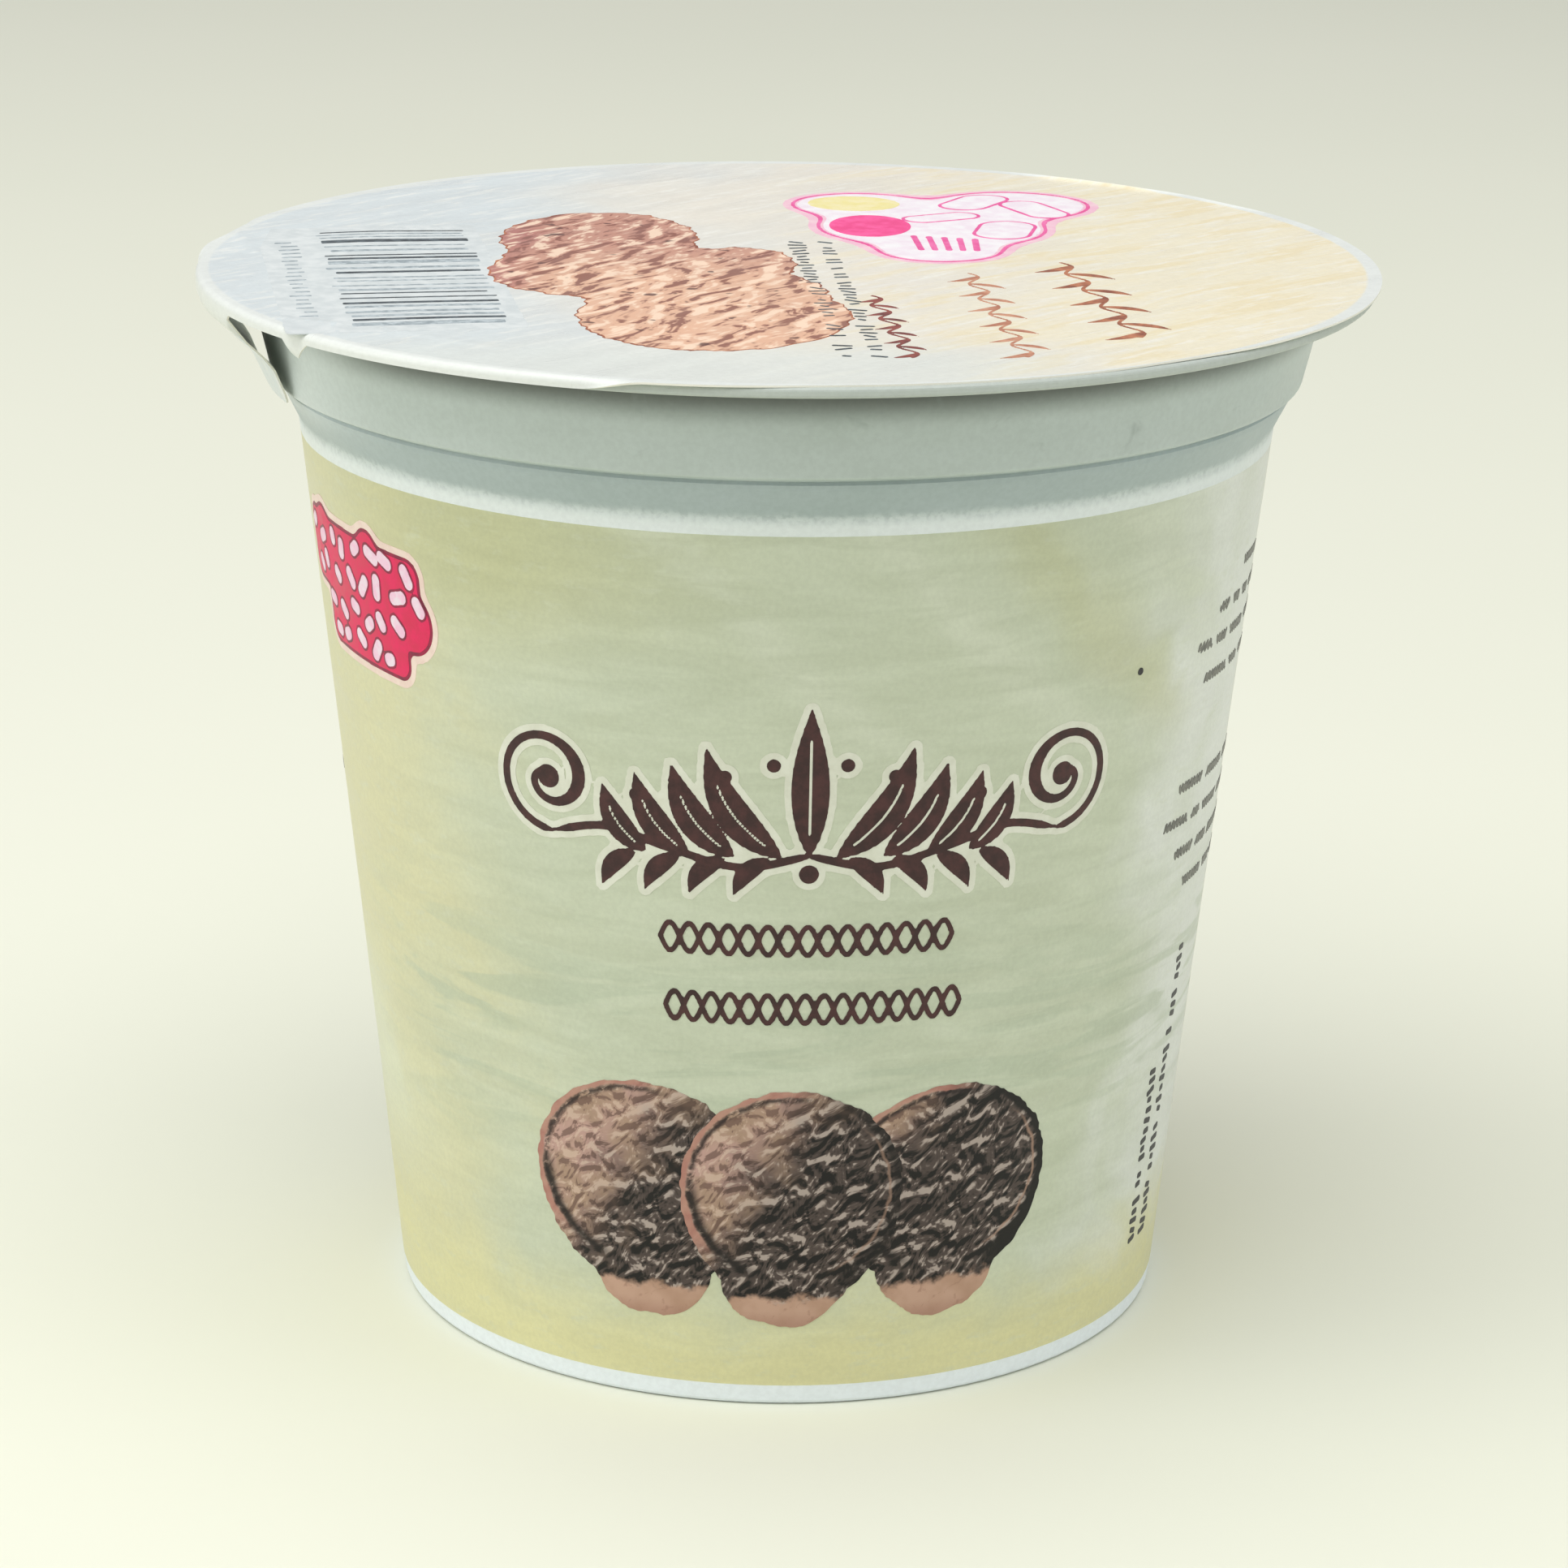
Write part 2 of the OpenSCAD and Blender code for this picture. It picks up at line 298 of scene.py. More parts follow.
def film_finish():
    """Printed side of the sealing film: white on the left to cream on the right."""
    f = Finish("lid_film", 0.34, 0.45)
    p = f.place()
    x, y, _ = f.split(p)
    cloud = f.noise(p, 0.06, 3.0, 0.6, 0.5)
    wander = f.math("MULTIPLY", f.math("SUBTRACT", cloud, 0.5), 34.0)
    along = f.math("ADD", x, y)
    across = f.math("SUBTRACT", y, x)
    slanted = f.join(f.math("MULTIPLY", along, 0.05), f.math("MULTIPLY", across, 0.32))
    brush = f.noise(slanted, 1.0, 4.0, 0.62, 0.6)
    fine = f.noise(f.scaled(slanted, (3.0, 3.0, 1.0)), 1.0, 4.0, 0.7, 0.4)
    grain = f.noise(p, 2.4, 3.0, 0.65)

    side = f.math("ADD", x, wander)
    base = f.mix(f.step(side, -24.0, 2.0), srgb(211, 219, 221), srgb(229, 224, 212))
    base = f.mix(f.step(side, 2.0, 24.0), base, srgb(236, 228, 202))
    base = f.mix(f.times(f.step(brush, 0.48, 0.62), f.step(x, -6.0, 14.0), 0.7), base, srgb(228, 214, 176))
    base = f.mix(f.times(f.step(fine, 0.5, 0.66), 0.55), base, srgb(240, 240, 233))
    front = f.times(f.step(y, -22.0, -31.0), f.step(x, 22.0, 8.0), 0.8)
    base = f.mix(front, base, srgb(217, 222, 217))
    radius = f.node("ShaderNodeVectorMath", {0: f.join(x, y)}, out="Value", operation="LENGTH")
    # Painted shade: the film's unprinted rim and turned-down skirt are made greyer than white film, as shade
    # on the skirt.
    base = f.mix(f.step(radius, FLANGE_R - 0.75, FLANGE_R - 0.5), base, srgb(224, 228, 224))
    base = f.shade(base, grain, 0.97, 1.02)
    f.colour(base)
    f.rough(brush, 0.26, 0.42)
    f.bump(f.math("ADD", grain, f.math("MULTIPLY", cloud, 3.0)), 0.02)
    return f.material


def film_back_finish():
    """Unprinted side and edge of the film."""
    f = Finish("lid_film_back", 0.45, 0.4)
    p = f.place()
    haze = f.noise(p, 0.5, 3.0, 0.6)
    f.colour(f.mix(haze, srgb(230, 229, 216), srgb(240, 239, 229)))
    f.rough(haze, 0.4, 0.55)
    return f.material


def ink_finish(name, dark, light, scale=0.9, roughness=0.4):
    """Flat printing ink whose density varies a little."""
    f = Finish(name, roughness, 0.4)
    p = f.place()
    density = f.noise(p, scale, 4.0, 0.65)
    f.colour(f.mix(f.step(density, 0.35, 0.68), dark, light))
    f.rough(density, roughness - 0.06, roughness + 0.08)
    return f.material


def scoop_finish(name, half_width, half_height, split, shadow_side):
    """Printed picture of one chocolate scoop, lit from the left, on its paler skirt."""
    f = Finish(name, 0.4, 0.35)
    u, v, _ = f.split(f.print_place())
    across = f.math("DIVIDE", u, half_width)
    up = f.math("DIVIDE", v, half_height)
    flat = f.join(u, v)
    radius = f.node("ShaderNodeVectorMath", {0: f.join(across, up)}, out="Value", operation="LENGTH")
    wobble = f.noise(flat, 0.75, 3.0, 0.6)
    uneven = f.math("SUBTRACT", wobble, 0.5)
    ragged = f.math("ADD", radius, f.math("MULTIPLY", uneven, 0.08))

    along = f.math("ADD", f.math("MULTIPLY", u, 0.74), f.math("MULTIPLY", v, 0.67))
    square = f.math("SUBTRACT", f.math("MULTIPLY", v, 0.74), f.math("MULTIPLY", u, 0.67))
    turned = f.join(along, f.math("MULTIPLY", square, 1.7))
    crinkle = f.relief(turned, 0.55, (0.30, 0.42, 0.0))
    pore = f.noise(turned, 1.15, 3.0, 0.65, 0.6)
    soft = f.noise(flat, 0.30, 3.0, 0.6)

    lit = f.math("SUBTRACT", f.math("MULTIPLY", across, 0.9), f.math("MULTIPLY", up, 0.55))
    lit = f.math("ADD", lit, f.math("MULTIPLY", f.math("SUBTRACT", soft, 0.5), 1.5))
    light_side = f.step(lit, split + 0.38, split - 0.38)

    dark = f.mix(f.step(crinkle, -0.085, 0.03), srgb(13, 9, 10), srgb(78, 66, 62))
    dark = f.mix(f.step(crinkle, 0.045, 0.13), dark, srgb(172, 158, 150))
    pale = f.mix(f.step(soft, 0.38, 0.62), srgb(168, 140, 120), srgb(190, 154, 144))
    pale = f.mix(f.times(f.step(crinkle, -0.02, -0.09), 0.75), pale, srgb(104, 76, 68))
    pale = f.mix(f.times(f.step(crinkle, 0.03, 0.10), 0.6), pale, srgb(214, 188, 170))
    pale = f.mix(f.times(f.step(pore, 0.58, 0.68), 0.55), pale, srgb(112, 84, 74))
    ball = f.mix(light_side, dark, pale)

    upper_left = f.times(f.step(across, 0.35, 0.0), f.step(up, -0.75, -0.5))
    rim_line = f.times(f.near(ragged, 0.925, 0.050), upper_left, f.step(pore, 0.34, 0.50))
    ball = f.mix(f.times(rim_line, 0.9), ball, srgb(36, 24, 26))
    rim = f.mix(f.step(soft, 0.4, 0.6), srgb(186, 142, 126), srgb(172, 118, 106))
    under_rim = f.times(f.near(ragged, 0.90, 0.085), f.step(across, -0.2, -0.5), f.step(up, 0.15, -0.1), 0.9)
    ball = f.mix(under_rim, ball, srgb(20, 13, 14))
    left_rim = f.times(f.step(ragged, 0.945, 0.965), f.step(across, 0.30, -0.10), f.step(up, -0.7, -0.45))
    ball = f.mix(f.times(left_rim, 0.9), ball, rim)
    crescent = f.times(f.step(ragged, 0.90, 0.95), f.step(across, 0.25, 0.6), shadow_side)
    ball = f.mix(crescent, ball, srgb(14, 9, 10))
    line = f.times(f.near(ragged, 0.885, 0.022), f.step(across, 0.3, 0.6), f.step(up, 0.7, 0.3))
    line = f.times(line, shadow_side, 0.8)
    ball = f.mix(line, ball, srgb(168, 136, 118))

    skirt = f.mix(f.step(soft, 0.36, 0.64), srgb(194, 158, 138), srgb(178, 142, 120))
    skirt = f.mix(f.times(f.step(pore, 0.58, 0.72), 0.5), skirt, srgb(146, 108, 92))
    skirt = f.mix(f.times(f.step(v, SKIRT_LOW + 1.2, SKIRT_LOW + 0.1), 0.5), skirt, srgb(158, 116, 100))
    below = f.math("ADD", up, f.math("MULTIPLY", uneven, 0.30))
    f.colour(f.mix(f.step(below, -1.03, -1.12), ball, skirt))
    f.rough(pore, 0.34, 0.48)
    return f.material


def lid_scoop_finish():
    """Printed picture of the pale brown scoops on the lid."""
    f = Finish("ink_salmon", 0.36, 0.4)
    u, v, _ = f.split(f.print_place())
    flat = f.join(u, v)
    along = f.math("ADD", f.math("MULTIPLY", u, 0.5), f.math("MULTIPLY", v, 0.86))
    square = f.math("SUBTRACT", f.math("MULTIPLY", u, 0.86), f.math("MULTIPLY", v, 0.5))
    slant = f.join(f.math("MULTIPLY", along, 0.8), f.math("MULTIPLY", square, 2.0))
    crinkle = f.relief(slant, 0.30, (0.5, 1.1, 0.0))
    pore = f.noise(slant, 0.36, 3.0, 0.6, 0.5)
    soft = f.noise(flat, 0.14, 3.0, 0.6)
    top = f.step(f.math("ADD", v, f.math("MULTIPLY", soft, 10.0)), -6.0, 14.0)
    base = f.mix(soft, srgb(232, 190, 160), srgb(222, 172, 142))
    base = f.mix(f.times(top, 0.85), base, srgb(188, 132, 116))
    left = f.step(f.math("ADD", u, f.math("MULTIPLY", soft, 6.0)), -11.0, -16.0)
    base = f.mix(f.times(left, 0.85), base, srgb(176, 108, 102))
    base = f.mix(f.times(f.step(crinkle, 0.02, 0.12), 0.85), base, srgb(250, 222, 196))
    base = f.mix(f.times(f.step(crinkle, -0.03, -0.12), 0.9), base, srgb(136, 80, 66))
    dots = f.step(f.noise(flat, 0.55, 2.0, 0.5), 0.66, 0.71)
    base = f.mix(f.times(dots, 0.85), base, srgb(84, 40, 34))
    f.colour(base)
    f.rough(pore, 0.3, 0.42)
    return f.material


# ------------------------------------------------------------------ flat shapes
# A shape is a function of u and v that gives about the distance to its outline, less
# than 0 inside, all in millimetres.


def disc(u, v, at, radius_u, radius_v=None):
    """Round or oval spot."""
    radius_v = radius_v or radius_u
    out = np.hypot((u - at[0]) / radius_u, (v - at[1]) / radius_v) - 1
    return out * min(radius_u, radius_v)


def slab(u, v, at, half_u, half_v, corner, lean=0.0):
    """Rectangle with rounded corners, turned by lean degrees."""
    c, s = math.cos(math.radians(lean)), math.sin(math.radians(lean))
    a = np.abs((u - at[0]) * c + (v - at[1]) * s) - half_u + corner
    b = np.abs((v - at[1]) * c - (u - at[0]) * s) - half_v + corner
    return np.hypot(np.maximum(a, 0), np.maximum(b, 0)) + np.minimum(np.maximum(a, b), 0) - corner


def dashes(u, v, marks, half_width):
    """Short bars, each given by its middle, half length and lean."""
    found = [slab(u, v, at, half, half_width, 0.1, lean) for at, half, lean in marks]
    return np.minimum.reduce(found)


def strokes(u, v, lines):
    """Pen strokes. Each line is its points and its half width at each point."""
    found = np.full(u.shape, 1e3)
    for points, radii in lines:
        for p, q, r0, r1 in zip(points[:-1], points[1:], radii[:-1], radii[1:]):
            du, dv = q[0] - p[0], q[1] - p[1]
            t = ((u - p[0]) * du + (v - p[1]) * dv) / max(du * du + dv * dv, 1e-12)
            t = np.clip(t, 0, 1)
            away = np.hypot(u - p[0] - t * du, v - p[1] - t * dv)
            found = np.minimum(found, away - r0 - (r1 - r0) * t)
    return found


def melt(shapes, softness):
    """Union of shapes with soft inner corners."""
    found = shapes[0]
    for shape in shapes[1:]:
        h = np.clip(0.5 + 0.5 * (shape - found) / softness, 0, 1)
        found = shape * (1 - h) + found * h - softness * h * (1 - h)
    return found


def ruffle(u, v, wave, depth, phase=0.0):
    """Uneven edge, as of a scooped ball."""
    k = 2 * math.pi / wave
    swing = np.sin(k * u + 1.7 * np.sin(k * 0.61 * v + phase)) + np.sin(k * 1.31 * v + 2.1 + phase)
    return depth * (swing + 0.6 * np.sin(k * 2.3 * (u - v) + phase)) / 2.6


def through(points, steps=8):
    """Smooth curve through a few points."""
    p = [2 * np.array(points[0], float) - points[1], *map(np.array, points)]
    p.append(2 * np.array(points[-1], float) - points[-2])
    found = []
    for a, b, c, d in zip(p[:-3], p[1:-2], p[2:-1], p[3:]):
        for t in np.arange(steps) / steps:
            bend = (2 * a - 5 * b + 4 * c - d) * t * t + (3 * b - a - 3 * c + d) * t**3
            found.append(b + 0.5 * ((c - a) * t + bend))
    return np.array([*found, p[-2]], float)


def pen(points, thin, thick):
    """A stroke that swells where the pen goes down and tapers at its ends."""
    points = np.array(points, float)
    step = np.gradient(points, axis=0)
    length = np.hypot(step[:, 0], step[:, 1])
    down = np.clip(-step[:, 1] / np.maximum(length, 1e-9), 0, 1)
    swell = np.convolve(np.pad(down**1.5, 3, "edge"), np.ones(7) / 7, "valid")
    done = np.cumsum(length)
    taper = np.clip(np.minimum(done, done[-1] - done) / 1.2, 0.35, 1)
    return points, (thin + (thick - thin) * swell) / 2 * taper


def leaf(root, tip, width, bend=0.12):
    """A slender leaf from root to tip, bowed sideways by a share of its length."""
    root, tip = np.array(root, float), np.array(tip, float)
    t = np.linspace(0, 1, 15)
    side = np.array([root[1] - tip[1], tip[0] - root[0]])
    points = root + np.outer(t, tip - root) + np.outer(np.sin(np.pi * t) * bend, side)
    return points, np.maximum(width / 2 * np.sin(np.pi * t**0.85) ** 0.9, 0.05)


def volute(middle, size, turns, start, squash=1.0):
    """A spiral that grows from its middle."""
    t = np.linspace(0, 1, int(36 * turns))
    angle = math.radians(start) + 2 * math.pi * turns * t
    radius = size * (0.12 + 0.88 * t**0.8)
    return np.stack([middle[0] + radius * np.cos(angle), middle[1] + squash * radius * np.sin(angle)], 1)


def wave(start, end, height, count, phase=0.0):
    """A wavy line of count waves between two points."""
    t = np.linspace(0, 1, int(14 * count) + 1)
    start, end = np.array(start, float), np.array(end, float)
    way = (end - start) / np.linalg.norm(end - start)
    side = np.array([-way[1], way[0]])
    swing = height / 2 * np.sin(2 * math.pi * count * t + phase)
    return start + np.outer(t, end - start) + np.outer(swing, side)


def even(points, width):
    """A stroke of one width."""
    return points, np.full(len(points), width / 2)


# ------------------------------------------------------------------ prints as thin plates


def outlined(shape, extent, cell):
    """Points and faces of the area where shape is below 0, cut cleanly at its outline."""
    us = np.arange(extent[0], extent[2] + cell, cell)
    vs = np.arange(extent[1], extent[3] + cell, cell)
    u, v = np.meshgrid(us, vs)
    depth = shape(u, v)
    depth = np.where(np.abs(depth) < 0.1 * cell, -0.1 * cell, depth).ravel()
    u, v = u.ravel(), v.ravel()
    width = len(us)
    points, faces, index = [], [], {}

    def vertex(i, j):
        key = (min(i, j), max(i, j))
        if key not in index:
            t = 0 if i == j else depth[i] / (depth[i] - depth[j])
            index[key] = len(points)
            points.append((u[i] + (u[j] - u[i]) * t, v[i] + (v[j] - v[i]) * t))
        return index[key]

    inside = (depth < 0).reshape(len(vs), width)
    count = inside[:-1, :-1] * 1 + inside[1:, :-1] + inside[:-1, 1:] + inside[1:, 1:]
    for row, column in np.argwhere(count > 0):
        a = row * width + column
        b, c, d = a + 1, a + width + 1, a + width
        if count[row, column] == 4:
            faces.append([vertex(k, k) for k in (a, b, c, d)])
            continue
        for corners in ((a, b, c), (a, c, d)):
            face = []
            for i, j in zip(corners, corners[1:] + corners[:1]):
                if depth[i] < 0:
                    face.append(vertex(i, i))
                if (depth[i] < 0) != (depth[j] < 0):
                    face.append(vertex(i, j))
            if face:
                faces.append(face)
    return np.array(points), faces


def thick_faces(faces, count):
    """Faces of the closed plate whose upper side has these faces and count points."""
    edges = {(i, j) for face in faces for i, j in zip(face, face[1:] + face[:1])}
    rims = [(i, j) for i, j in edges if (j, i) not in edges]
    under = [[k + count for k in reversed(face)] for face in faces]
    return faces + under + [[j, i, i + count, j + count] for i, j in sorted(rims)]


def make_piece(name, points, faces, materials, sharp=40, uv=None):
    """A mesh piece from points in millimetres that rides on the tub."""
    mesh = bpy.data.meshes.new(name)
    mesh.from_pydata((np.asarray(points) * MM).tolist(), [], faces)
    for material in materials:
        mesh.materials.append(material)
    if uv is not None:
        corners = np.zeros(len(mesh.loops), np.int32)
        mesh.loops.foreach_get("vertex_index", corners)
        layer = mesh.uv_layers.new(name="Print")
        layer.data.foreach_set("uv", (uv[corners] / UV_MM).astype(np.float32).ravel())
    mesh.polygons.foreach_set("use_smooth", [True] * len(mesh.polygons))
    mesh.set_sharp_from_angle(angle=math.radians(sharp))
    piece = bpy.data.objects.new(name, mesh)
    bpy.context.scene.collection.objects.link(piece)
    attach(piece, BODY)
    return piece


def on_label(azimuth, z):
    """Lays a print on the label, its own origin at an azimuth and a height."""
    radius = wall_r(z)

    def lay(flat, lift):
        angle = math.radians(azimuth) + flat[:, 0] / radius
        height = z + flat[:, 1]
        out = wall_r(height) + lift
        return np.stack([out * np.cos(angle), out * np.sin(angle), height], 1)

    return lay


def on_lid(flat, lift):
    """Lays a print on the film."""
    x, y = flat[:, 0], flat[:, 1]
    return np.stack([x, y, FILM_TOP + film_height(x, y) + lift], 1)


def plate(name, shape, extent, cell, lays, lift, material):
    """The same thin print at each place in lays."""
    flat, faces = outlined(shape, extent, cell)
    closed = thick_faces(faces, len(flat))
    uv = np.concatenate([flat, flat])
    for ending, lay in lays.items():
        points = np.concatenate([lay(flat, lift), lay(flat, -PLATE_SINK)])
        make_piece(name + ending, points, closed, [material], uv=uv)


PLATE_SINK = 0.05


def both_sides(azimuth, z):
    """Places of a print on the front and, half a turn on, on the back."""
    return {"_front": on_label(azimuth, z), "_back": on_label(azimuth - 180, z)}


# ------------------------------------------------------------------ prints on the label


def berry(at, radius):
    """A round dot, as a stroke of no length."""
    return (at, at), (radius, radius)


def sprig():
    """Right half of the ornament about its own middle: a leafy stem that ends in a curl."""
    curl = volute(CURL_AT, CURL_SIZE, 1.4, -54, -1.0)[::-1]
    curl_foot = (CURL_AT[0], CURL_AT[1] - CURL_SIZE)
    stem = through([(0.0, -3.4), (4.2, -4.2), (8.6, -3.2), (12.6, -2.2), curl_foot])
    lines = [pen(stem, 0.5, 0.6), pen(curl, 0.5, 0.9)]
    for root, length, width in LEAVES_UP:
        lines.append(leaf((root, -3.5), (root + 0.55 * length, -3.5 + 0.84 * length), width, -0.12))
    for root in LEAVES_DOWN:
        lines.append(leaf((root, -3.7), (root + 2.2, -6.0), 1.2, 0.14))
    for root, _, _ in LEAVES_UP:
        lines.append(berry((root + 0.5, 2.9 - 0.28 * root), 0.42))
    lines.append(berry(CURL_AT, 0.75))
    return lines


def sprig_ribs():
    """Hairlines left bare along the leaves."""
    ribs = []
    for root, length, width in LEAVES_UP:
        points, _ = leaf((root, -3.5), (root + 0.55 * length, -3.5 + 0.84 * length), width, -0.12)
        ribs.append((points[2:-4], np.full(len(points) - 6, 0.085)))
    return ribs


CURL_AT = (16.4, 0.5)
CURL_SIZE = 3.5
# Each leaf over the stem: where it grows, its length and its width
LEAVES_UP = ((1.7, 8.2, 2.2), (4.6, 6.8, 2.1), (7.4, 5.9, 1.9), (10.1, 4.8, 1.7))
LEAVES_DOWN = (2.4, 5.2, 8.0, 10.8)
ORNAMENT_MIDDLE = 1.7


def ornament():
    """Two mirrored leafy sprigs about an upright leaf, on a pale halo."""
    middle = [leaf((0, -3.4), (0, 6.0), 2.3, 0.0), berry((0, -4.6), 0.6)]
    lines = sprig()
    ribs = [*sprig_ribs(), even(np.array([(0.0, -2.0), (0.0, 4.0)]), 0.17)]

    def ink(u, v):
        beside = np.abs(u - ORNAMENT_MIDDLE)
        return np.minimum(strokes(beside, v, lines), strokes(beside, v, middle))

    def shape(u, v):
        return np.maximum(ink(u, v), -strokes(np.abs(u - ORNAMENT_MIDDLE), v, ribs))

    extent = (-20.5, -7.2, 23.5, 7.2)
    lays = both_sides(FRONT, 41.0)
    plate("print_halo", lambda u, v: ink(u, v) - 0.42, extent, 0.25, lays, 0.012, ink_halo)
    plate("print_ornament", shape, extent, 0.15, lays, 0.024, ink_brown)


def braided_rules():
    """Two braided rules under the ornament."""
    lines = []
    for v, start, end, count in ((2.1, -7.3, 10.6, 7.5), (-2.45, -7.1, 11.4, 8.0)):
        for phase in (0.0, math.pi):
            lines.append(even(wave((start, v), (end, v), 1.9, count, phase), 0.30))
    shape = lambda u, v: strokes(u, v, lines)
    lays = both_sides(FRONT, 29.9)
    plate("print_rules", shape, (-8, -4, 12, 4), 0.14, lays, 0.024, ink_brown)


SKIRT_LOW = -9.4


def scoop_shape(half_width, half_height, skirt_from, skirt_to, phase):
    """A ball with an uneven edge on a flatter skirt."""
    middle = (skirt_from + skirt_to) / 2
    half = (skirt_to - skirt_from) / 2

    def shape(u, v):
        upper = disc(u, v, (0, 0), half_width, half_height)
        lower = disc(u, v, (0, -1.5), half_width * 0.93, half_height - 0.5)
        ball = melt([upper, lower], 0.8) + ruffle(u, v, 2.2, 0.12, phase)
        skirt = disc(u, v, (middle, SKIRT_LOW + 3.6), half, 3.6)
        lobes = 0.10 * np.cos(2 * math.pi * (u - middle) / (half * 0.95) + phase)
        return np.minimum(ball, skirt + lobes + ruffle(u, v, 1.9, 0.09, phase))

    return shape


def scoops():
    """Three scoops side by side, the middle one in front."""
    for name, azimuth, z, wide, high, skirt, split, shadow, lift in SCOOPS:
        finish = scoop_finish("ink_" + name, wide, high, split, shadow)
        shape = scoop_shape(wide, high, *skirt, azimuth)
        lays = both_sides(azimuth, z)
        plate("print_" + name, shape, (-8, -10, 8, 7.6), 0.2, lays, lift, finish)


SCOOPS = (
    ("scoop_left", 251.5, 15.3, 7.25, 6.7, (-3.7, 4.6), -0.22, 0.0, 0.016),
    ("scoop_right", 293.1, 15.2, 7.2, 6.45, (-4.3, 3.9), -0.75, 1.0, 0.016),
    ("scoop_middle", 271.9, 15.0, 6.95, 6.85, (-4.5, 3.7), -0.38, 0.7, 0.030),
)


def badge():
    """Magenta badge scattered with pale sprinkles."""

    def field(u, v):
        upper = slab(u, v, (-0.6, 1.9), 8.0, 2.3, 1.1, -2)
        lower = slab(u, v, (0.2, -1.9), 5.6, 1.9, 1.0, -2)
        lobes = [disc(u, v, at, radius) for at, radius in BADGE_LOBES]
        return melt([upper, lower, *lobes], 0.5)

    def sprinkles(u, v):
        found = [slab(u, v, at, half, 0.42, 0.41, lean) for at, half, lean in SPRINKLES]
        return np.minimum.reduce(found)

    lays = both_sides(209.2, 49.4)
    area = (-10.6, -6.0, 10.6, 6.6)
    edge = lambda u, v: field(u, v) - 0.62
    line = lambda u, v: field(u, v) - 0.16
    inside = lambda u, v: field(u, v) + 0.08
    seams = lambda u, v: sprinkles(u, v) - 0.16
    plate("badge_edge", edge, area, 0.25, lays, 0.010, ink_blush)
    plate("badge_line", line, area, 0.2, lays, 0.018, ink_wine)
    plate("badge_field", inside, area, 0.2, lays, 0.026, ink_magenta)
    plate("badge_seams", seams, area, 0.16, lays, 0.034, ink_wine)
    plate("badge_sprinkles", sprinkles, area, 0.14, lays, 0.042, ink_pink_white)


BADGE_LOBES = (((6.3, 0.0), 2.0), ((2.0, 3.6), 1.3), ((-5.4, 3.4), 1.5))


def sprinkle_places():
    """Each sprinkle: its middle, its half length and the way it points."""
    draw = np.random.default_rng(12)
    found = []
    for v, start, count in ((3.1, -7.6, 8), (1.1, -7.0, 8), (-0.9, -4.8, 6), (-2.8, -4.2, 5)):
        for i in range(count):
            at = (start + 2.0 * i + draw.uniform(-0.35, 0.35), v + draw.uniform(-0.4, 0.4))
            found.append((at, draw.uniform(0.6, 0.9), draw.uniform(0, 180)))
    return found


SPRINKLES = sprinkle_places()


def word_lines(start, end, v, height, seed, thickness):
    """One row of small print as short wavy dashes."""
    draw = np.random.default_rng(seed)
    lines = []
    u = start
    while u < end - 0.8:
        length = min(draw.uniform(1.2, 4.2), end - u)
        count = max(1, round(length / (height * 0.85)))
        lines.append(even(wave((u, v), (u + length, v), height, count, draw.uniform(0, 6)), thickness))
        u += length + 0.75 + draw.uniform(0, 0.2)
    return lines


def small_print():
    """Rows of dashes on the side of the label, and a dot beside them."""
    lines = []
    for row, (z, half_width) in enumerate(SIDE_ROWS):
        lines += word_lines(-half_width, half_width, z - SIDE_Z, 0.55, 10 + row, 0.2)
    shape = lambda u, v: strokes(u, v, lines)
    area = (-14.5, -12, 14.5, 12)
    lays = both_sides(SIDE_AT, SIDE_Z)
    plate("print_rows", shape, area, 0.17, lays, 0.02, ink_side)
    dot = lambda u, v: disc(u, v, (0, 0), 0.24)
    lays = both_sides(316.6, 47.0)
    plate("print_dot", dot, (-0.5, -0.5, 0.5, 0.5), 0.08, lays, 0.02, ink_black)


SIDE_AT = 347.0
SIDE_Z = 41.0
SIDE_ROWS = (
    (51.3, 2.6), (49.1, 6.5), (47.0, 9.1), (44.7, 7.5),
    (37.7, 9.1), (35.4, 10.5), (33.1, 8.4), (30.8, 6.4),
)


def stamp():
    """Two columns of printed marks that run up the side of the label."""
    draw = np.random.default_rng(7)
    found = []
    for u, low, high in ((-1.0, 5.9, 18.3), (1.1, 5.9, 26.0)):
        v = low
        while v < high:
            half = draw.uniform(0.30, 0.62)
            at = (u + draw.uniform(-0.12, 0.12), v - 16.0)
            found.append((at, half, draw.uniform(-14, 14)))
            v += draw.choice([0.62, 0.74, 1.25], p=[0.5, 0.35, 0.15])
    lays = both_sides(335.8, 16.0)
    shape = lambda u, v: dashes(u, v, found, 0.19)
    plate("print_stamp", shape, (-2.5, -11, 2.5, 11), 0.11, lays, 0.02, ink_black)


# ------------------------------------------------------------------ sealing film
# Outside the seal the film follows a path of short steps that lies flat on the flange
# and then turns down over its edge, turns up, or just ends, as on the CAD lid.

SEAL_R = FLANGE_R - 3.2
EDGE_ROUND = 0.22
BEND_FROM_R = FLANGE_R - EDGE_ROUND
BEND_LEN = (EDGE_ROUND + 0.08) * math.pi / 2
FLAT_LEN = EDGE_ROUND + 0.3
FLAT_SHARE = 0.8
SKIRT_H = 0.25
FRONT_TRIM = 0.6
CURL_TURN = 38.0
CURL_BACK = 0.8
FOLD_FADE = 7.0
FOLD_TO = 251.0
TAB_AT = 193.5
TAB_ROOT = math.degrees(math.asin(15 / 2 / FLANGE_R))
TAB_TIP = math.degrees(math.asin(7 / 2 / FLANGE_R))
TAB_TIP_NEAR = 8.6  # degrees; the side nearer the front drops more steeply
TAB_LEN = 7.9
TAB_HANG = 0.5
TAB_TURN_LEN = 0.8
TAB_EASE_LEN = 1.2
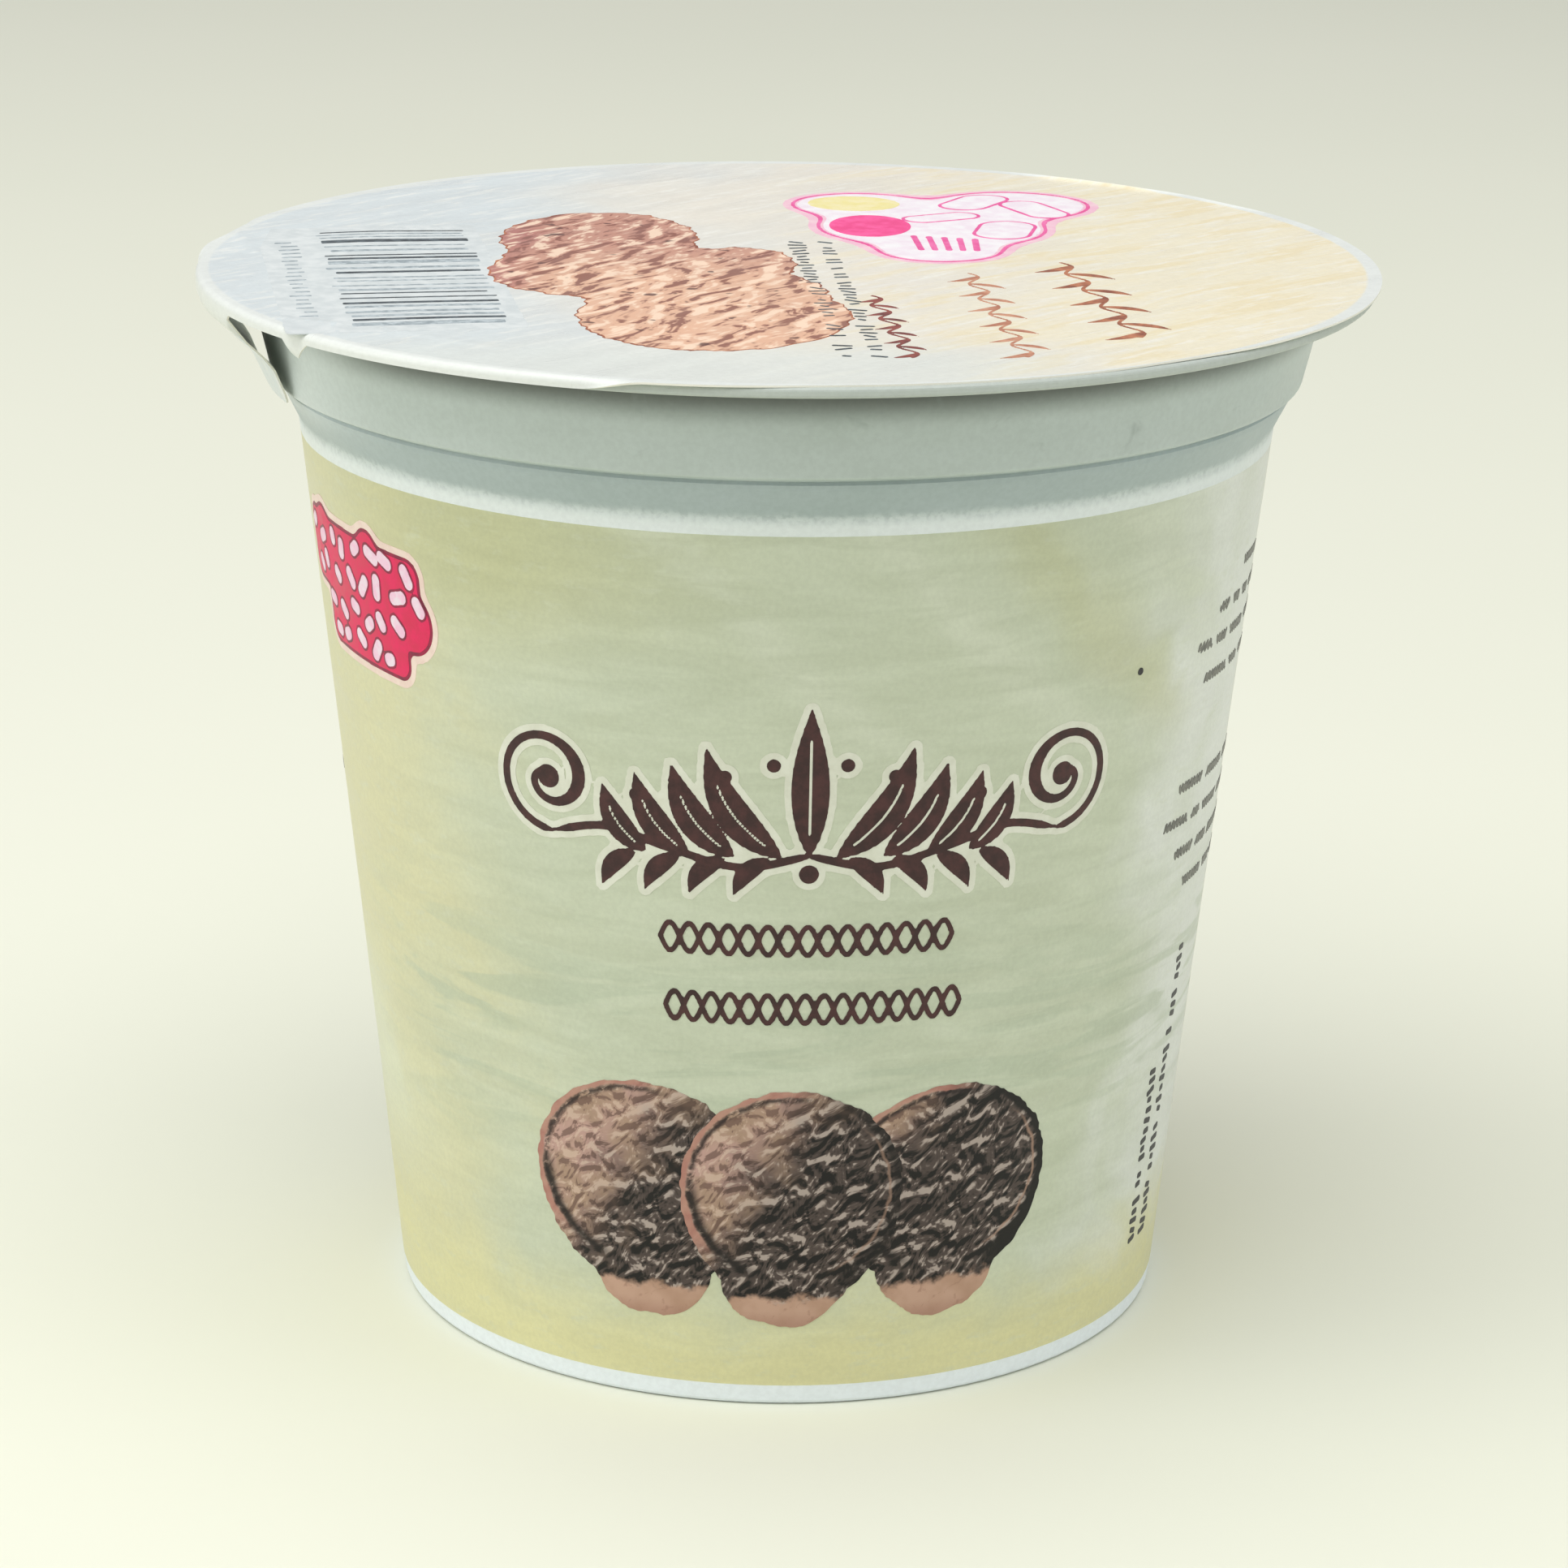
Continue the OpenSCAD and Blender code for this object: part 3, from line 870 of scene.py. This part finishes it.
TAB_IN = 47.0
TAB_HUG = 25.0
TAB_SLOPE_TO = 4.4
PLEAT_AT = 219.0
PLEAT_LEN = 1.3
PLEAT_HALF = 2.4
FOLD_FROM = TAB_AT - TAB_ROOT
# Each curl of the rim: its middle, half widths at the top and foot, and its share
CURLS = ((54, 5, 13, 1), (37, 1, 7, 0.7), (318, 4, 22, 0.25), (FOLD_FROM - FOLD_FADE - 8, 2, 8, 0.6))
SHORT_AT = 290.0
SHORT_HALF = 14.0
FLAT_STEPS, BEND_STEPS, TAIL_STEPS = 8, 6, 14
# Each crease of the film: from, to, half width and height
CREASES = (
    ((-27.0, -21.5), (-31.6, -19.2), 0.34, 0.11),
    ((-31.6, -19.2), (-34.6, -11.5), 0.30, 0.06),
    ((-27.0, -21.5), (-26.2, -27.4), 0.34, 0.08),
    ((-36.2, 8.6), (-34.2, 1.0), 0.36, 0.11),
    ((-24.5, -22.4), (-17.0, -27.8), 0.42, 0.05),
)


def smooth(x, low, high):
    t = np.clip((x - low) / (high - low), 0, 1)
    return t * t * (3 - 2 * t)


def apart(a, b):
    return np.abs((a - b + 540) % 360 - 180)


def window(a, middle, full, none):
    return 1 - smooth(apart(a, middle), full, none)


def film_height(x, y):
    """How far the film lifts off its plane: slow waves and sharp creases."""
    x, y = np.asarray(x, float), np.asarray(y, float)
    radius = np.hypot(x, y)
    waves = np.sin(0.16 * x + 0.9 * np.sin(0.11 * y)) * np.sin(0.13 * y + 0.4 + 0.8 * np.sin(0.09 * x))
    lift = 0.07 * (waves + 1) * (1 - smooth(radius, SEAL_R - 7, SEAL_R - 0.5))
    for start, end, half, height in CREASES:
        start, end = np.array(start), np.array(end)
        way = end - start
        t = ((x - start[0]) * way[0] + (y - start[1]) * way[1]) / (way @ way)
        on = np.clip(t, 0, 1)
        away = np.hypot(x - start[0] - on * way[0], y - start[1] - on * way[1])
        lift = lift + height * np.maximum(0, 1 - away / (2 * half)) ** 2 * (1 - smooth(radius, 36.2, 37.1))
    return lift


def film_angles():
    """Azimuths of the film's columns, finest where it is folded and creased."""
    coarse = np.concatenate([np.arange(0, 165, 1.0), np.arange(262, 360, 1.0)])
    return np.sort(np.concatenate([coarse, np.arange(165, 262, 0.4)]))


def film_path(a):
    """Radius, height over the flange and direction along the film outside the seal."""
    fold = smooth(a, FOLD_FROM - FOLD_FADE, FOLD_FROM) * (1 - smooth(a, FOLD_TO, FOLD_TO + FOLD_FADE))
    curl = np.max([share * window(a, at, full, none) for at, full, none, share in CURLS], 0)
    short = window(a, SHORT_AT, SHORT_HALF, SHORT_AT - FOLD_TO - FOLD_FADE)
    near_side = (a - TAB_AT) % 360 < 180
    tip = np.where(near_side, TAB_TIP_NEAR, TAB_TIP)
    tab = np.clip((TAB_ROOT - apart(a, TAB_AT)) / (TAB_ROOT - tip), 0, 1)
    pleat = np.maximum(0, 1 - apart(a, PLEAT_AT) / PLEAT_HALF)
    blend = lambda flat, folded: flat + (folded - flat) * fold
    hang = TAB_LEN * np.sin(np.pi / 2 * tab) ** 0.8
    tail = np.maximum(blend(FLAT_LEN * (1 - FLAT_SHARE), SKIRT_H), hang)
    tail = np.maximum(tail, PLEAT_LEN * pleat)
    turn = 90 * fold - CURL_TURN * curl
    steps = []
    flat_len = BEND_FROM_R - SEAL_R - FRONT_TRIM * short - CURL_BACK * curl
    for i in range(FLAT_STEPS):
        steps.append((flat_len / FLAT_STEPS, 0 * a))
    for i in range(BEND_STEPS):
        steps.append((blend(FLAT_LEN * FLAT_SHARE, BEND_LEN) / BEND_STEPS, turn * (i + 0.5) / BEND_STEPS))
    for i in range(TAIL_STEPS):
        x = tail / TAIL_STEPS * (i + 0.5)
        inwards = TAB_IN * np.clip((x - TAB_HANG) / TAB_TURN_LEN, 0, 1)
        eased = (TAB_IN - TAB_HUG) * np.clip((x - TAB_SLOPE_TO) / TAB_EASE_LEN, 0, 1)
        steps.append((tail / TAIL_STEPS, turn + fold * (inwards - eased)))
    radius, height = [0 * a + SEAL_R], [0 * a]
    for length, down in steps:
        radius.append(radius[-1] + length * np.cos(np.radians(down)))
        height.append(height[-1] - length * np.sin(np.radians(down)))
    downs = [steps[0][1], *[(p[1] + q[1]) / 2 for p, q in zip(steps[:-1], steps[1:])], steps[-1][1]]
    return np.array(radius), np.array(height), np.radians(np.array(downs))


def film():
    """The sealing film, with its folded edge, pull tab, curls and creases."""
    angles = film_angles()
    a = np.radians(angles)
    radius, height, down = film_path(angles)
    inner = np.concatenate([np.linspace(1.5, 24, 16), np.linspace(24.5, SEAL_R - 0.25, 32)])
    ring = lambda r, z: np.stack([r * np.cos(a), r * np.sin(a), z + 0 * a], 1)
    top = [ring(r, FILM_TOP + film_height(r * np.cos(a), r * np.sin(a))) for r in inner]
    for r, h, d in zip(radius, height, down):
        out = r + FILM_T * np.sin(d)
        crease = film_height(out * np.cos(a), out * np.sin(a))
        top.append(ring(out, CUP_H + h + FILM_T * np.cos(d) + crease))
    under = [ring(r, CUP_H + h) for r, h in zip(radius[::-1], height[::-1])]
    rings = [*top, *under]
    columns = len(a)
    points = np.concatenate([*rings, [[0, 0, FILM_TOP + film_height(0, 0)], [0, 0, CUP_H]]])
    centre, foot = len(points) - 2, len(points) - 1
    faces = []
    for k in range(len(rings) - 1):
        for c in range(columns):
            d = (c + 1) % columns
            faces.append([k * columns + c, (k + 1) * columns + c, (k + 1) * columns + d, k * columns + d])
    last = (len(rings) - 1) * columns
    for c in range(columns):
        d = (c + 1) % columns
        faces.append([centre, c, d])
        faces.append([foot, last + d, last + c])
    piece = make_piece("lid_film", points, faces, [film_print, film_back], sharp=60)
    back_from = (len(top) - 1) * columns
    kinds = [0 if k < back_from else 1 for k in range((len(rings) - 1) * columns)]
    kinds += [0, 1] * columns
    piece.data.polygons.foreach_set("material_index", kinds)
    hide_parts("lid")


# ------------------------------------------------------------------ prints on the lid


def on_the_lid(name, shape, extent, cell, lift, material):
    plate(name, shape, extent, cell, {"": on_lid}, lift, material)


def code_patch():
    """White patch with grey and black stripes."""
    lean = -9.3
    c, s = math.cos(math.radians(lean)), math.sin(math.radians(lean))
    middle = np.array([-24.6, -6.6])

    def turned(u, v):
        return (u - middle[0]) * c - (v - middle[1]) * s, (u - middle[0]) * s + (v - middle[1]) * c

    draw = np.random.default_rng(3)
    thin, bold, specks = [], [], []
    v = 15.0
    while v > -15.6:
        half = draw.choice([0.16, 0.28, 0.48], p=[0.45, 0.35, 0.2])
        target = bold if draw.random() < 0.33 else thin
        target.append(((0.9 + draw.uniform(-0.2, 0.2), v), 4.7 + draw.uniform(-0.3, 0.2), half))
        v -= 2 * half + draw.uniform(0.55, 1.25)
    for v in np.arange(12.0, -13.0, -1.25):
        specks.append(((-6.1 + draw.uniform(-0.2, 0.2), v), draw.uniform(0.35, 0.7), 0.18))

    def bars(group):
        def shape(u, v):
            a, b = turned(u, v)
            b = b + 0.004 * a * a
            return np.minimum.reduce([slab(a, b, at, half_u, half_v, 0.08) for at, half_u, half_v in group])

        return shape

    def patch(u, v):
        a, b = turned(u, v)
        return slab(a, b, (-0.6, 0), 7.2, 17.0, 0.4)

    area = (-34.0, -26.5, -14.0, 12.5)
    on_the_lid("lid_patch", patch, area, 0.4, 0.008, ink_patch)
    on_the_lid("lid_stripes_grey", bars(thin + specks), area, 0.14, 0.016, ink_grey)
    on_the_lid("lid_stripes_black", bars(bold), area, 0.14, 0.016, ink_slate)


def lid_scoops():
    """Two piled scoops, seen at a slant."""

    def shape(u, v):
        balls = [disc(u, v, at, *size) for at, size in LID_BALLS]
        return melt(balls, 2.2) + ruffle(u, v, 2.8, 0.24, 0.7)

    area = (-21, -30, 6.5, 18.5)
    line = lambda u, v: shape(u, v) - 0.12
    on_the_lid("lid_scoops_line", line, area, 0.35, 0.010, ink_rust)
    on_the_lid("lid_scoops", shape, area, 0.28, 0.018, lid_scoop_ink)


LID_BALLS = (
    ((-12.4, 7.0), (6.3, 9.2)),
    ((-11.4, -4.2), (7.4, 8.4)),
    ((-4.4, -18.0), (8.2, 10.2)),
    ((-3.2, -1.6), (3.6, 5.6)),
    ((-3.4, -9.4), (5.4, 5.0)),
)


def lid_badge():
    """Pink badge with a magenta spot, pale petals and a cream corner."""

    def field(u, v):
        lobes = [disc(u, v, at, size) for at, size in LID_LOBES]
        return melt(lobes, 3.0)

    def ring(outer, inner):
        return lambda u, v: np.maximum(field(u, v) - outer, inner - field(u, v))

    def petals(u, v):
        found = [slab(u, v, at, half, wide, wide * 0.98, lean) for at, half, wide, lean in PETALS]
        return np.minimum.reduce(found)

    spot = lambda u, v: disc(u, v, (5.4, 12.0), 2.7, 4.0)
    corner = lambda u, v: disc(u, v, (4.4, 20.6), 3.1, 2.9)
    glow = lambda u, v: field(u, v) - 1.0
    petal_lines = lambda u, v: petals(u, v) - 0.26
    bars = [even(through([(8.2 + 1.0 * k, 8.4 - 0.2 * k), (8.6 + 0.9 * k, 3.6)]), 0.4) for k in range(5)]
    rays = lambda u, v: strokes(u, v, bars)
    area = (-3, -4.5, 23, 31)
    on_the_lid("lid_badge_glow", glow, area, 0.4, 0.008, ink_glow)
    on_the_lid("lid_badge_field", field, area, 0.3, 0.014, ink_pale)
    on_the_lid("lid_badge_ring", ring(0.45, 0.2), area, 0.2, 0.020, ink_pink)
    on_the_lid("lid_badge_corner", corner, area, 0.3, 0.022, ink_cream)
    on_the_lid("lid_badge_lines", petal_lines, area, 0.2, 0.024, ink_pink)
    on_the_lid("lid_badge_petals", petals, area, 0.2, 0.030, ink_pale)
    on_the_lid("lid_badge_spot", spot, area, 0.2, 0.032, ink_hot)
    on_the_lid("lid_badge_rays", rays, area, 0.2, 0.034, ink_pink)


LID_LOBES = (((5.0, 20.0), 4.4), ((15.0, 20.5), 5.0), ((9.5, 12.0), 7.2), ((9.8, 3.6), 3.6))
PETALS = (
    ((12.6, 21.6), 3.0, 1.5, 62),
    ((16.6, 19.0), 3.2, 1.3, 115),
    ((14.3, 11.2), 3.1, 1.7, 80),
    ((10.2, 15.6), 2.6, 1.1, 30),
)


def vine(start, end, count, length, width, thickness):
    """A gently waving stem with a leaf to each side in turn."""
    stem = wave(start, end, 0.9, count / 2)
    lines = [even(stem, thickness)]
    way = np.subtract(end, start) / np.hypot(*np.subtract(end, start))
    side = np.array([-way[1], way[0]])
    for k in range(count):
        root = stem[int((k + 0.5) / count * (len(stem) - 1))]
        turned = side if k % 2 else -side
        lines.append(leaf(root, root + length * (0.6 * way + 0.8 * turned), width, 0.1))
    return lines


def lid_flourish():
    """Thin leafy vines that run from the badge towards the front."""
    first = vine((17.4, 0.0), (21.0, -22.8), 9, 3.4, 0.8, 0.24)
    second = vine((11.4, -4.0), (14.0, -28.8), 11, 2.6, 0.6, 0.2)
    third = vine((5.2, -11.4), (7.3, -29.4), 9, 2.0, 0.55, 0.24)
    area = (2, -31.5, 27, 3)
    vines = (("first", first, ink_rust), ("second", second, ink_tan), ("third", third, ink_red_brown))
    for name, lines, ink in vines:
        shape = lambda u, v, lines=lines: strokes(u, v, lines)
        on_the_lid("lid_flourish_" + name, shape, area, 0.17, 0.012, ink)


def lid_stamp():
    """Two rows of small grey dashes over the scoops' edge."""
    draw = np.random.default_rng(21)
    found = []
    for shift in (0.0, 1.9):
        t = 0.0
        while t < 38.0:
            at = (0.4 + shift + 0.085 * t, 6.8 - t)
            if draw.random() < 0.74:
                found.append((at, draw.uniform(0.28, 0.62), draw.uniform(-35, 35)))
            t += 0.95
    shape = lambda u, v: dashes(u, v, found, 0.13)
    on_the_lid("lid_stamp", shape, (-1, -33, 7, 8), 0.12, 0.026, ink_slate)


# ------------------------------------------------------------------ camera, light and floor


def camera():
    """Camera of the reference view: 17 degrees down from the front."""
    data = bpy.data.cameras.new("camera")
    data.lens = 110.19
    data.sensor_width = 36.0
    data.clip_start = 0.01
    data.clip_end = 20.0
    pitch, yaw, roll = 0.2972, 0.0004, 0.0115
    ahead = Vector((math.sin(yaw) * math.cos(pitch), math.cos(yaw) * math.cos(pitch), -math.sin(pitch)))
    level = Vector((math.cos(yaw), -math.sin(yaw), 0))
    above = level.cross(ahead)
    right = math.cos(roll) * level + math.sin(roll) * above
    up = -math.sin(roll) * level + math.cos(roll) * above
    made = bpy.data.objects.new("camera", data)
    turn = Matrix((right, up, -ahead)).transposed().to_4x4()
    made.matrix_world = Matrix.Translation((0, -0.30287, 0.126)) @ turn
    bpy.context.scene.collection.objects.link(made)
    bpy.context.scene.camera = made


def soft_light(name, place, target, size, power, colour):
    data = bpy.data.lights.new(name, "AREA")
    data.shape = "DISK"
    data.size = size
    data.energy = power
    data.color = colour
    made = bpy.data.objects.new(name, data)
    made.location = place
    made.rotation_euler = (Vector(target) - Vector(place)).to_track_quat("-Z", "Y").to_euler()
    bpy.context.scene.collection.objects.link(made)


def studio():
    """Plain pale floor, a soft light from above and even light all round."""
    floor_ink = Finish("floor", 0.75, 0.2)
    p = floor_ink.place()
    floor_ink.colour(floor_ink.mix(floor_ink.noise(p, 0.01), srgb(228, 230, 214), srgb(231, 232, 217)))
    mesh = bpy.data.meshes.new("floor")
    reach = 3.0
    corners = [(-reach, -reach, 0), (reach, -reach, 0), (reach, reach, 0), (-reach, reach, 0)]
    mesh.from_pydata(corners, [], [(0, 1, 2, 3)])
    mesh.materials.append(floor_ink.material)
    floor = bpy.data.objects.new("floor", mesh)
    bpy.context.scene.collection.objects.link(floor)
    world = bpy.data.worlds.new("studio")
    bpy.context.scene.world = world
    world.use_nodes = True
    world.node_tree.nodes["Background"].inputs["Color"].default_value = (0.97, 0.985, 1.0, 1)
    world.node_tree.nodes["Background"].inputs["Strength"].default_value = 0.38
    soft_light("overhead", (-0.15, -0.25, 1.05), (0, 0, 0.04), 1.5, 12.5, (1.0, 0.99, 0.97))
    soft_light("left", (-0.80, -0.20, 0.34), (0, 0, 0.04), 0.6, 1.9, (1.0, 0.99, 0.95))
    soft_light("right", (0.80, -0.20, 0.34), (0, 0, 0.04), 0.6, 1.3, (1.0, 1.0, 1.0))
    bpy.context.scene.view_settings.view_transform = "Standard"
    bpy.context.scene.view_settings.look = "None"


# ------------------------------------------------------------------ the tub

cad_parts["tub"].data.materials[0] = plastic_finish()
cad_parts["label"].data.materials[0] = label_finish()

ink_brown = ink_finish("ink_brown", srgb(52, 27, 28), srgb(76, 42, 42))
ink_halo = ink_finish("ink_halo", srgb(214, 216, 200), srgb(224, 226, 212))
ink_black = ink_finish("ink_black", srgb(30, 30, 34), srgb(58, 56, 60))
ink_side = ink_finish("ink_side", srgb(88, 88, 84), srgb(128, 128, 120), 1.6)
ink_hot = ink_finish("ink_hot", srgb(238, 52, 134), srgb(248, 92, 160))
ink_magenta = ink_finish("ink_magenta", srgb(214, 10, 78), srgb(228, 16, 92))
ink_wine = ink_finish("ink_wine", srgb(112, 8, 52), srgb(160, 10, 66))
ink_blush = ink_finish("ink_blush", srgb(232, 206, 196), srgb(240, 220, 208))
ink_pink_white = ink_finish("ink_pink_white", srgb(240, 192, 218), srgb(238, 222, 234))
ink_patch = ink_finish("ink_patch", srgb(206, 213, 214), srgb(218, 223, 223))
ink_grey = ink_finish("ink_grey", srgb(140, 152, 158), srgb(192, 202, 206), 1.6)
ink_slate = ink_finish("ink_slate", srgb(42, 50, 56), srgb(104, 114, 120), 1.4)
ink_glow = ink_finish("ink_glow", srgb(240, 186, 208), srgb(238, 204, 212))
ink_pink = ink_finish("ink_pink", srgb(230, 70, 150), srgb(238, 120, 178))
ink_pale = ink_finish("ink_pale", srgb(240, 226, 236), srgb(240, 238, 240))
ink_cream = ink_finish("ink_cream", srgb(238, 226, 150), srgb(238, 228, 180))
ink_rust = ink_finish("ink_rust", srgb(134, 66, 40), srgb(190, 122, 88))
ink_tan = ink_finish("ink_tan", srgb(176, 108, 80), srgb(206, 152, 124))
ink_red_brown = ink_finish("ink_red_brown", srgb(104, 40, 36), srgb(150, 76, 66))
lid_scoop_ink = lid_scoop_finish()
film_print = film_finish()
film_back = film_back_finish()

film()
ornament()
braided_rules()
scoops()
badge()
small_print()
stamp()
code_patch()
lid_scoops()
lid_badge()
lid_flourish()
lid_stamp()
studio()
camera()
